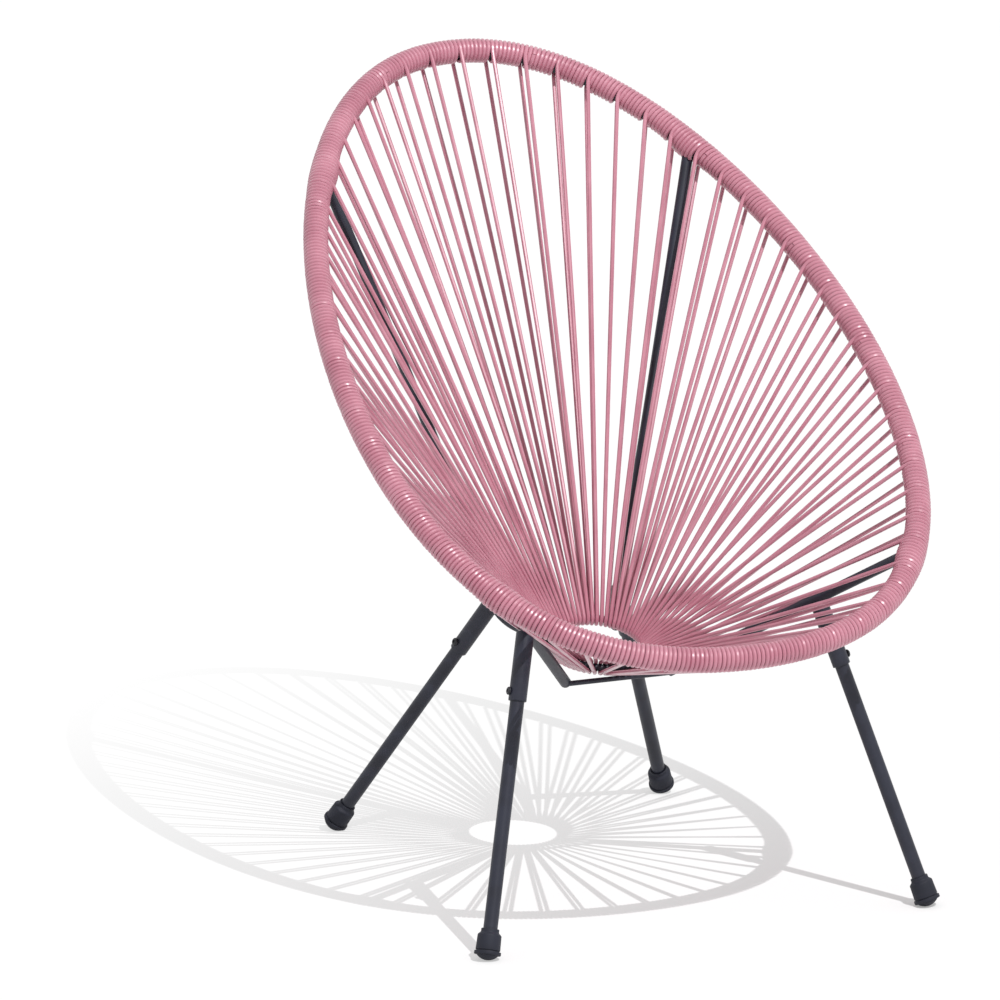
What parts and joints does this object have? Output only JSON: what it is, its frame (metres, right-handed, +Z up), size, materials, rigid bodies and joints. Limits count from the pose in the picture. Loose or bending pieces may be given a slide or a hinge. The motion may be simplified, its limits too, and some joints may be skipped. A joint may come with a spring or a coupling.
{
  "type": "acapulco chair",
  "caption": "Outdoor lounge chair with an egg-shaped steel rim wound in cord, cords drawn straight over a small seat ring, and splayed plug-in legs.",
  "frame": {"origin": "on the floor, under the middle of the chair's overall box", "axes": "+Z up, -Y towards the front where the sitter's legs hang, +X to the right as seen from the front"},
  "size_m": [0.6737, 0.8226, 0.8999],
  "materials": {
    "cord": "satin vinyl cord",
    "frame": "fine-textured satin powder coat",
    "foot_caps": "matte moulded",
    "screws": "black coated"
  },
  "bodies": {
    "root": {"rim_tube": "frame", "seat_ring": "frame", "front_crossbar": "frame", "front_spoke_left": "frame", "front_spoke_right": "frame", "rear_spoke_left": "frame", "rear_spoke_right": "frame", "leg_sleeve_front_left": "frame", "leg_sleeve_front_right": "frame", "leg_sleeve_rear_left": "frame", "leg_sleeve_rear_right": "frame", "leg_front_left": "frame", "leg_front_right": "frame", "leg_rear_left": "frame", "leg_rear_right": "frame", "foot_cap_front_left": "foot_caps", "foot_cap_front_right": "foot_caps", "foot_cap_rear_left": "foot_caps", "foot_cap_rear_right": "foot_caps", "leg_screw_front_left": "screws", "leg_screw_front_right": "screws", "leg_screw_rear_left": "screws", "leg_screw_rear_right": "screws", "cord_rear_middle": "cord", "cord_front_middle": "cord", "cord_rear_left": "cord", "cord_rear_right": "cord", "cord_side_upper_left": "cord", "cord_side_upper_right": "cord", "cord_side_middle_left": "cord", "cord_side_middle_right": "cord", "cord_side_lower_left": "cord", "cord_side_lower_right": "cord", "cord_side_front_left": "cord", "cord_side_front_right": "cord", "cord_front_left": "cord", "cord_front_right": "cord"}
  },
  "joints": []
}
